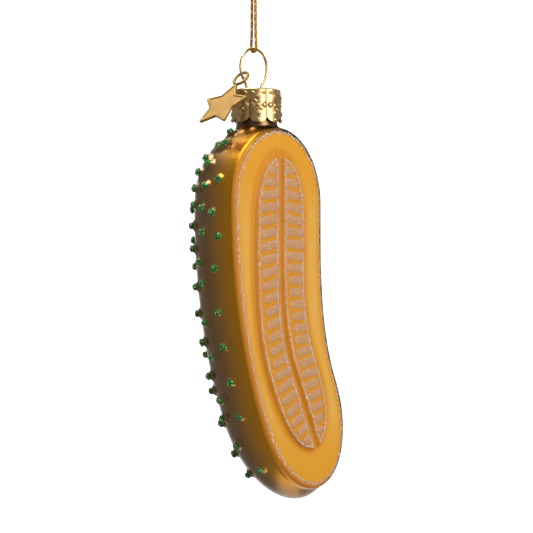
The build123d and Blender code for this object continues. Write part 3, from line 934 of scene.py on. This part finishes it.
def grain_turns(normals, sizes, chance):
    """Turns that lay grains roughly square to the normals, each spun, tilted and narrowed its own way."""
    tilted, narrowest = 0.55, 0.7
    turns = []
    for normal, grain in zip(normals, sizes):
        tilt = Vector(normal) + tilted * Vector(chance.normal(size=3))
        spin = Matrix.Rotation(chance.uniform(0, 2 * math.pi), 3, "Z")
        stretch = np.diag([1.0, chance.uniform(narrowest, 1.0), 1.0])
        turns.append(np.array(tilt.to_track_quat("Z", "Y").to_matrix() @ spin) @ stretch * grain)
    return np.array(turns)


def even_line(outline, step):
    """Points and sideways directions at even steps along a closed outline."""
    loop = np.concatenate([outline, outline[:1]])
    lengths = distances_along(loop)
    even = np.arange(0, lengths[-1], step)
    points = points_at(loop, lengths, even)
    heading = unit(points_at(loop, lengths, (even + step) % lengths[-1]) - points)
    return points, np.stack([heading[:, 1], -heading[:, 0]], axis=1)


def glitter_line(name, shape, outlines, width, settings, seed):
    """Pale flakes strewn along outlines on the face, densest in the middle of the line."""
    chance = np.random.default_rng(seed)
    spread, widest, stray, heap = 0.25, 0.6, 0.05 * MM, 0.22 * MM
    smallest, largest, flatness = 0.65, 1.25, 0.3
    walks = [even_line(outline, MM / settings.flakes_per_mm) for outline in outlines]
    line, away = (np.concatenate(rows) for rows in zip(*walks))
    aside = chance.normal(0, spread, len(line)).clip(-widest, widest) * width
    flat = line + away * aside[:, None] + chance.normal(0, stray, line.shape)
    height = face_relief(shape, flat)[0] + chance.uniform(0, heap, len(flat))
    centres = np.stack([flat[:, 0], -shape.glass.face_ahead - height, flat[:, 1]], axis=1)
    normals = np.broadcast_to([0.0, -1.0, 0.0], centres.shape)
    sizes = settings.flake * chance.uniform(smallest, largest, len(centres))
    turns = grain_turns(normals, sizes, chance)
    return strewn(name, grain_pattern(flatness), centres, turns, chance.uniform(0, 1, len(centres)))


def wart_dabs(settings, spots):
    """A heap of green grains over a bead of tinted glue on the tip of each wart."""
    chance = np.random.default_rng(seed=11)
    glue_tint, cover, golden_turn, swerve = 0.4, 1.35, math.pi * (3 - math.sqrt(5)), 0.4
    # least and most of a heap's width, a grain's distance from its middle and a grain's size
    wide, far, big, flatness = (0.88, 1.12), (0.88, 1.08), (0.75, 1.3), 0.5
    beads, bead_turns, centres, normals, sizes = [], [], [], [], []
    for base, axis in spots:
        across = np.array(Vector(axis).orthogonal().normalized())
        beside = np.cross(axis, across)
        reach = settings.dab_radius * chance.uniform(*wide)
        heap = np.stack([across * reach, beside * reach, axis * settings.dab_height], axis=1)
        beads.append(base)
        bead_turns.append(heap * settings.bead_share)
        for grain in range(settings.grains):
            lift = 1 - cover * (grain + 0.5) / settings.grains
            out = math.sqrt(1 - lift ** 2)
            angle = grain * golden_turn + chance.uniform(-swerve, swerve)
            side = across * math.cos(angle) + beside * math.sin(angle)
            jitter = chance.uniform(*far)
            centres.append(base + (side * out * reach + axis * lift * settings.dab_height) * jitter)
            normals.append(axis * lift + side * out)
            sizes.append(settings.grain * chance.uniform(*big))
    glue = np.full(len(beads), glue_tint)
    cores = strewn("green_wart_glitter", ball_pattern(), np.array(beads), np.array(bead_turns), glue)
    turns = grain_turns(normals, sizes, chance)
    tints = chance.uniform(0, 1, len(centres))
    return joined(cores, strewn("green_grains", grain_pattern(flatness), np.array(centres), turns, tints))


def build_cap(metal, glass):
    """The cap: one lobed skin from its scalloped edge over the top, stamped, thickened and pierced."""
    lobe = 2 * math.pi / metal.cap_lobes
    wall_share, corner_share = 0.78, 0.84
    columns_per_lobe, rows, drill_length = 38, 96, 2 * MM
    edge = metal.cap_edge

    def cap_place(u, v):
        angle = 2 * math.pi * u
        local = (angle - metal.cap_turn + lobe / 2) % lobe - lobe / 2
        wide = metal.lobe_offset * np.cos(local)
        wide = wide + np.sqrt(metal.lobe_radius ** 2 - (metal.lobe_offset * np.sin(local)) ** 2)
        across = np.abs(np.sin(local) / math.sin(lobe / 2))
        notch = metal.scallop * (1 - np.sqrt(np.maximum(1 - across ** 2, 0)))
        wall = share_between(0, wall_share, v)
        corner = share_between(wall_share, corner_share, v) * QUARTER
        down = (metal.cap_height - notch) * (1 - wall) + edge * wall - edge * np.sin(corner)
        radius = wide + metal.cap_flare * down / metal.cap_height - edge * (1 - np.cos(corner))
        radius = radius * (1 - share_between(corner_share, 1, v))
        radius = radius + cap_stamp(metal, local * wide, down) * (v <= wall_share)
        ring = glass.neck_x + radius * np.cos(angle), radius * np.sin(angle)
        return np.stack([*ring, metal.cap_top - down], axis=1)

    cap = wrapped_grid("gold_cap", metal.cap_lobes * columns_per_lobe, rows, cap_place)
    apply_modifier(cap, "SOLIDIFY", thickness=metal.cap_sheet, offset=-1)
    for side in SIDES:
        drill = added(
            bpy.ops.mesh.primitive_cylinder_add, (side * metal.hole_spacing / 2, 0, metal.cap_top),
            vertices=32, radius=metal.wire / 2 + metal.hole_play, depth=drill_length,
        )
        combine(cap, "DIFFERENCE", drill)
    smooth(cap, degrees=35)
    return cap


def cap_stamp(metal, across, down):
    """Relief of the stamped diamonds and dots on one lobe, by place across it and down from the top."""
    half_wide, half_high, steepness = 0.75 * MM, 0.85 * MM, 1.7
    dot, dot_raise = 0.34 * MM, 0.85
    # places in mm across a lobe and down from the cap's top
    diamonds = ((0, 2.1), (0, 6.0), (-1.45, 4.0), (1.45, 4.0))
    dots = ((0, 4.05), (0, 7.5), (-1.3, 1.1), (1.3, 1.1), (-0.7, 3.1), (0.7, 5.0))
    relief = np.zeros(len(across))
    for side, drop in diamonds:
        slope = np.abs(across - side * MM) / half_wide + np.abs(down - drop * MM) / half_high
        relief = np.maximum(relief, np.clip(steepness * (1 - slope), 0, 1))
    for side, drop in dots:
        gap = np.hypot(across - side * MM, down - drop * MM) / dot
        relief = np.maximum(relief, dot_raise * np.sqrt(np.clip(1 - gap ** 2, 0, 1)))
    return metal.stamp_raise * relief


def smooth_line(name, points, steps):
    """A smooth curve from control points, with so many steps between two of them."""
    curve = bpy.data.curves.new(name, "CURVE")
    curve.dimensions = "3D"
    curve.resolution_u = steps
    line = curve.splines.new("NURBS")
    line.points.add(len(points) - 1)
    for point, place in zip(line.points, points):
        point.co = (*place, 1)
    line.order_u = 3
    line.use_endpoint_u = True
    return new_piece(name, curve)


def build_wire(metal, glass):
    """The hanger: a ring that runs into two spring legs, bent from one wire."""
    ring_points, round_steps = 48, 6
    hole = (metal.hole_spacing / 2, metal.cap_top - metal.cap_sheet / 2)
    touch = math.acos(metal.ring_radius / math.hypot(*hole)) + math.atan2(hole[1], hole[0])
    arc = np.linspace(touch, math.pi - touch, ring_points)
    ring = [(metal.ring_radius * math.cos(a), 0, metal.ring_radius * math.sin(a)) for a in arc]

    def leg(side):
        reach = glass.neck_x + side * metal.leg_reach
        bow, tip = metal.cap_top - metal.leg_bow, metal.cap_top - metal.leg_length
        return [(side * hole[0], 0, hole[1]), (reach, 0, bow), (reach - side * metal.leg_inset, 0, tip)]

    wire = smooth_line("gold_hanger_wire", leg(1)[::-1] + ring + leg(-1), steps=6)
    wire.data.bevel_depth = metal.wire / 2
    wire.data.bevel_resolution = round_steps
    wire.data.use_fill_caps = True
    select_only(wire)
    bpy.ops.object.convert(target="MESH")
    smooth(bpy.context.object)
    return bpy.context.object


def build_star(metal):
    """The star charm: a plate with a raised rim round a plain field, and its cast loop."""
    sides, columns_per_side, bevel_share = 10, 12, 0.3
    edge, rim, raised, half_point = metal.star_edge, metal.star_rim, metal.star_raise, 2 * math.pi / sides
    radius, notch = metal.star_radius, metal.star_radius * metal.star_inner
    back, field, bevel = -metal.star_plate / 2, metal.star_plate / 2, bevel_share * edge
    front = field + raised
    # all ten sides lie this far from the middle, so a smaller star is one with its sides moved in
    apothem = radius * notch * math.sin(half_point) / math.sqrt(
        radius ** 2 + notch ** 2 - 2 * radius * notch * math.cos(half_point)
    )
    # how far each row of points is moved in from the star's edge, and its level
    rows = np.array([
        (apothem, back), (2 * edge, back), (edge, back), (bevel, back + bevel), (0, back + edge),
        (0, front - edge), (bevel, front - bevel), (edge, front), (rim - edge, front),
        (rim, front - raised / 2), (rim + edge, field), (rim + 2 * edge, field), (apothem, field),
    ])
    # all corners, and the first two again to close the last side
    order = np.arange(sides + 2)
    reach, angles = np.where(order % 2, notch, radius), QUARTER + half_point * order
    corners = np.stack([reach * np.cos(angles), reach * np.sin(angles)], axis=1)

    def star_place(u, v):
        corner = sides * u
        low = np.floor(corner).astype(int)
        flat = corners[low] + (corners[low + 1] - corners[low]) * (corner % 1)[:, None]
        flat *= np.minimum(1, (radius - metal.tip_blunt) / np.linalg.norm(flat, axis=1, keepdims=True))
        moved_in, level = rows[np.rint(v * (len(rows) - 1)).astype(int)].T
        return np.concatenate([flat * (1 - moved_in / apothem)[:, None], level[:, None]], axis=1)

    star = wrapped_grid("gold_star_charm", sides * columns_per_side, len(rows) - 1, star_place)
    loop = added(
        bpy.ops.mesh.primitive_torus_add, (0, radius + metal.loop_radius, 0), major_radius=metal.loop_radius,
        minor_radius=metal.loop_wire / 2, major_segments=72, minor_segments=24,
    )
    star = joined(star, loop)
    set_points(star, charm_place(metal, points_of(star)))
    smooth(star, degrees=40)
    return star


def charm_place(metal, points):
    """Moves points from the star's own plane to where it leans on the cap."""
    joint = next(joint for joint in frame["joints"] if joint["name"] == "charm_swing")
    lean = metal.charm_lean
    up = np.array([math.cos(lean), 0, math.sin(lean)])
    out = np.array([-math.sin(lean), 0, math.cos(lean)])
    side = np.array([0.0, -1.0, 0.0])
    loop_centre = np.array(joint["pos_m"]) + [0, metal.loop_side, 0] + up * metal.loop_shift
    centre = loop_centre - up * (metal.star_radius + metal.loop_radius)
    return centre + points[:, :1] * side + points[:, 1:2] * up + points[:, 2:] * out


def cord_route(metal):
    """The cord's control points: down one side of the ring's wire, under it and up the other side."""
    top, ring, near = metal.cord_top, metal.ring_radius, metal.cord_gap / 2
    # control points stand a little outside the bend that they draw, and the strands close in some cords higher
    outside, cords_higher = 1.08, 6
    out = metal.bight * outside
    slant = out * math.sqrt(0.5)
    close, wide = ring + cords_higher * metal.cord, ring + metal.cord
    side = [(near, top), (near, close), (out, wide), (out, ring), (slant, ring - slant)]
    front, back = [[(0, way * y, z) for y, z in side] for way in SIDES]
    return front + [(0, 0, ring - out)] + back[::-1]


def knot_path(metal):
    """Control points of the knot: turns of the cord that climb round its own two strands."""
    turns, steps, slimmest, clear = 2.6, 31, 0.86, 0.25 * MM
    radius = metal.bight + clear
    points = []
    for share in np.linspace(0, 1, steps):
        angle = 2 * math.pi * turns * share - QUARTER
        swell = radius * (slimmest + (1 - slimmest) * math.sin(math.pi * share))
        level = metal.cord_top + metal.cord / 2 + (metal.knot_height - metal.cord) * share
        points.append((swell * math.cos(angle), swell * math.sin(angle), level))
    return points


def tail_path(metal, side):
    """Control points of one tail: up through the knot and a little outwards."""
    beside, splay, spread = side * 0.43 * MM, 1.2, 1.7
    start, over = metal.cord_top + 0.2 * MM, metal.cord_top + metal.knot_height
    bend, end = over + metal.tail - 1.2 * MM, over + metal.tail - 0.1 * MM
    return [
        (0, beside, start), (0, beside, over),
        (0.1 * MM, beside * splay, bend), (0.15 * MM * side, beside * spread, end),
    ]


def route_points(points):
    """Points read from a smooth line with these control points."""
    route = smooth_line("route", points, steps=40)
    bpy.context.view_layer.update()
    mesh = bpy.data.meshes.new_from_object(route)
    path = np.array([vertex.co for vertex in mesh.vertices])
    bpy.data.objects.remove(route)
    bpy.data.meshes.remove(mesh)
    return path


def even_path(path, step):
    """A path at even steps, with two directions square to it that don't twist, and the distances."""
    lengths = distances_along(path)
    even = np.linspace(0, lengths[-1], max(int(lengths[-1] / step), 2) + 1)
    points = points_at(path, lengths, even)
    heading = unit(np.gradient(points, axis=0))
    across = [np.array(Vector(heading[0]).orthogonal().normalized())]
    for direction in heading[1:]:
        kept = across[-1] - direction * (across[-1] @ direction)
        across.append(kept / np.linalg.norm(kept))
    across = np.array(across)
    return points, across, np.cross(heading, across), even


def braided_cord(name, path, metal):
    """Four yarns braided round a path, two each way, passing over and under; each is a closed tube."""
    yarns, sides, step, fibre_turn = 4, 9, 0.1 * MM, 0.2 * MM
    yarn_share, weave_share = 0.24, 0.12
    yarn, weave = yarn_share * metal.cord, weave_share * metal.cord
    points, across, beside, even = even_path(path, step)
    rings = np.linspace(0, 2 * math.pi, sides, endpoint=False)
    turned_by = 2 * math.pi * even / metal.twist
    vertices, faces, crowns = [], [], []
    for strand in range(yarns):
        way = 1 if strand % 2 else -1
        angle = way * turned_by + strand * 2 * math.pi / yarns
        cos, sin = np.cos(angle)[:, None], np.sin(angle)[:, None]
        out, aside = across * cos + beside * sin, beside * cos - across * sin
        reach = metal.cord / 2 - yarn - weave * (1 + way * np.sin(2 * turned_by)) / 2
        centre = points + out * reach[:, None]
        ring = [centre + yarn * (out * math.cos(a) + aside * math.sin(a)) for a in rings]
        vertices.append(np.stack(ring, axis=1).reshape(-1, 3))
        # each yarn's crown share: high on its outer side and where it passes over, low in its valleys and
        # where it passes under, which the material paints as shade
        crowns.append(((reach / reach.max())[:, None] * (0.5 + 0.5 * np.cos(rings))).ravel())
        first = strand * len(points) * sides
        last = first + (len(points) - 1) * sides
        corners = np.arange(first, last).reshape(-1, sides)
        ahead = np.roll(corners, -1, axis=1)
        faces += np.stack([corners, ahead, ahead + sides, corners + sides], axis=2).reshape(-1, 4).tolist()
        faces += [list(range(first + sides - 1, first - 1, -1)), list(range(last, last + sides))]
    piece = new_mesh(name, np.concatenate(vertices), faces)
    store(piece, "crown", np.concatenate(crowns))
    store(piece, "twist", np.tile((even[:, None] / fibre_turn * 2 * math.pi + rings).ravel(), yarns))
    smooth(piece)
    return piece


class ORNAMENT_OT_glass(bpy.types.Operator):
    """Model the lacquered glass pickle"""

    bl_idname = "ornament.glass"
    bl_label = "Glass pickle"

    def execute(self, context):
        body = build_glass(context.scene.ornament_glass)
        dress(body, glass_lacquer(context.scene.ornament_finish), "glass", "glass_body")
        return {"FINISHED"}


class ORNAMENT_OT_glitter(bpy.types.Operator):
    """Strew the glitter on the warts and along the lines of the face"""

    bl_idname = "ornament.glitter"
    bl_label = "Glitter"

    def execute(self, context):
        settings = context.scene.ornament_glitter
        shape = FaceShape(context.scene.ornament_glass)
        pale = glitter("iridescent_white_glitter", PALE_TINTS, roughness=0.3, metallic=0.15)
        green = glitter("green_polyester_glitter", GREEN_TINTS, roughness=0.28, metallic=0.4)
        width, rim_share = settings.line_width, 1.3
        rim_width = rim_share * width
        rim = [shape.closed_outline(steps=240)]
        pods = [shape.pod(side, inset=width / 2, steps=60) for side in SIDES]
        rim_line = glitter_line("pale_rim_glitter", shape, rim, rim_width, settings, seed=3)
        dress(rim_line, pale, "glass", "rim_glitter_line")
        pod_lines = glitter_line("pale_pod_glitter", shape, pods, width, settings, seed=5)
        dress(pod_lines, pale, "glass", "pod_glitter_lines")
        dress(wart_dabs(settings, wart_spots()), green, "glass", "wart_glitter")
        return {"FINISHED"}


class ORNAMENT_OT_cap(bpy.types.Operator):
    """Model the stamped gold cap and the hanger wire"""

    bl_idname = "ornament.cap"
    bl_label = "Cap and hanger"

    def execute(self, context):
        glass, metal = context.scene.ornament_glass, context.scene.ornament_metal
        tone = context.scene.ornament_finish.gold
        stamped = gold_metal("stamped_gilt_brass_sheet", tone, roughness=0.34, grain_mm=0.25, relief_mm=0.02)
        drawn = gold_metal("drawn_gilt_brass_wire", tone, roughness=0.2, grain_mm=0.2, relief_mm=0.01)
        dress(build_cap(metal, glass), stamped, "hanger", "cap")
        dress(build_wire(metal, glass), drawn, "hanger", "hanger_wire")
        return {"FINISHED"}


class ORNAMENT_OT_charm(bpy.types.Operator):
    """Model the star charm with its loop"""

    bl_idname = "ornament.charm"
    bl_label = "Star charm"

    def execute(self, context):
        tone = context.scene.ornament_finish.charm_gold
        cast = gold_metal("cast_satin_gilt_brass", tone, roughness=0.54, grain_mm=0.22, relief_mm=0.09)
        dress(build_star(context.scene.ornament_metal), cast, "charm", "star_charm")
        return {"FINISHED"}


class ORNAMENT_OT_cord(bpy.types.Operator):
    """Braid the cord through the ring and knot it"""

    bl_idname = "ornament.cord"
    bl_label = "Cord and knot"

    def execute(self, context):
        metal = context.scene.ornament_metal
        thread = metallic_thread(context.scene.ornament_finish)
        path = route_points(cord_route(metal))
        cord = braided_cord("gold_hanging_cord", path, metal)
        dress(cord, thread, "hanger", "hang_cord")
        runs = [knot_path(metal)] + [tail_path(metal, side) for side in SIDES]
        knot = joined(*[braided_cord("gold_cord_knot", route_points(run), metal) for run in runs])
        dress(knot, thread, "hanger", "cord_knot")
        return {"FINISHED"}


class ORNAMENT_OT_stage(bpy.types.Operator):
    """Set the pale backdrop, the soft light and the camera"""

    bl_idname = "ornament.stage"
    bl_label = "Stage"

    right = Vector((0.688, -0.725, 0))
    towards = Vector((-0.725, -0.688, 0))
    target = Vector((2.11, -2.23, -47.7)) * MM
    distance = 516 * MM
    lens, sensor, near = 145.2, 36, 10 * MM
    air = (0.28, 0.28, 0.28, 1)
    # each lamp's place to the right of the target, towards the camera and up, its two sides, and its watts
    lamps = (
        ("key_softbox", (0.6, 0.55, 0.25), (0.5, 0.6), 5.6),
        ("overhead_softbox", (-0.2, 0.08, 0.75), (0.45, 0.4), 5.0),
        ("shoulder_softbox", (-0.44, -0.26, 0.85), (0.4, 0.35), 2.3),
        ("back_softbox", (0.0, -0.9, 0.3), (0.6, 0.6), 5.0),
    )

    def execute(self, context):
        self.backdrop()
        for lamp in self.lamps:
            self.light(*lamp)
        world = bpy.data.worlds.new("studio_air")
        context.scene.world = world
        world.use_nodes = True
        world.node_tree.nodes["Background"].inputs["Color"].default_value = self.air
        camera = new_piece("camera", bpy.data.cameras.new("camera"))
        camera.data.lens = self.lens
        camera.data.sensor_width = self.sensor
        camera.data.clip_start = self.near
        camera.location = self.target + self.towards * self.distance
        camera.rotation_euler = (-self.towards).to_track_quat("-Z", "Y").to_euler()
        context.scene.camera = camera
        context.scene.view_settings.view_transform = "Standard"
        return {"FINISHED"}

    def backdrop(self):
        """A floor of paper that sweeps up behind the ornament and widens to a wall, in metres."""
        floor, behind, bend, height, ahead = -1.1, 1.0, 0.4, 2.0, 0.3
        floor_half, wall_half = 0.25, 0.6
        floor_share, bend_share = 0.5, 0.75
        columns, rows = 24, 64
        right, towards, up = np.array(self.right), np.array(self.towards), np.array([0, 0, 1.0])

        def sweep(u, v):
            turned_up = share_between(floor_share, bend_share, v)
            run = share_between(0, floor_share, v) * (behind + ahead) - ahead
            rise = share_between(bend_share, 1, v) * height
            away = run + bend * np.sin(turned_up * QUARTER)
            level = floor + bend * (1 - np.cos(turned_up * QUARTER)) + rise
            side = (2 * u - 1) * (floor_half + (wall_half - floor_half) * turned_up)
            return side[:, None] * right - away[:, None] * towards + level[:, None] * up

        paper = wrapped_grid("paper_sweep", columns, rows, sweep)
        smooth(paper)
        paper.data.materials.append(stage_white("white_backdrop_paper"))

    def light(self, name, place, sides, watts):
        """A soft lamp that the camera doesn't see, aimed at the target."""
        lamp = bpy.data.lights.new(name, "AREA")
        lamp.shape = "RECTANGLE"
        lamp.size, lamp.size_y = sides
        lamp.energy = watts
        piece = new_piece(name, lamp)
        piece.visible_camera = False
        offset = self.right * place[0] + self.towards * place[1] + Vector((0, 0, place[2]))
        piece.location = self.target + offset
        piece.rotation_euler = (-offset).to_track_quat("-Z", "Y").to_euler()


class ORNAMENT_PT_panel(bpy.types.Panel):
    """Lists the steps that make the ornament, with its sizes and colours"""

    bl_label = "Pickle ornament"
    bl_space_type = "VIEW_3D"
    bl_region_type = "UI"
    bl_category = "Ornament"

    def draw(self, context):
        for operator in OPERATORS:
            self.layout.operator(operator.bl_idname)
        for pointer, group in GROUPS.items():
            box = self.layout.box()
            for name in group.__annotations__:
                box.prop(getattr(context.scene, pointer), name)


OPERATORS = (
    ORNAMENT_OT_glass, ORNAMENT_OT_glitter, ORNAMENT_OT_cap, ORNAMENT_OT_charm, ORNAMENT_OT_cord,
    ORNAMENT_OT_stage,
)
GROUPS = {
    "ornament_glass": GlassSizes,
    "ornament_glitter": GlitterSizes,
    "ornament_metal": MetalSizes,
    "ornament_finish": Finishes,
}
CLASSES = (*GROUPS.values(), *OPERATORS, ORNAMENT_PT_panel)


def register():
    for item in CLASSES:
        bpy.utils.register_class(item)
    for name, group in GROUPS.items():
        setattr(bpy.types.Scene, name, bpy.props.PointerProperty(type=group))


def unregister():
    for name in GROUPS:
        delattr(bpy.types.Scene, name)
    for item in reversed(CLASSES):
        bpy.utils.unregister_class(item)


def main():
    """Makes the whole ornament and its stage."""
    register()
    bpy.ops.ornament.stage()
    bpy.ops.ornament.cord()
    bpy.ops.ornament.glass()
    bpy.ops.ornament.glitter()
    bpy.ops.ornament.cap()
    bpy.ops.ornament.charm()


if __name__ == "__main__":
    main()
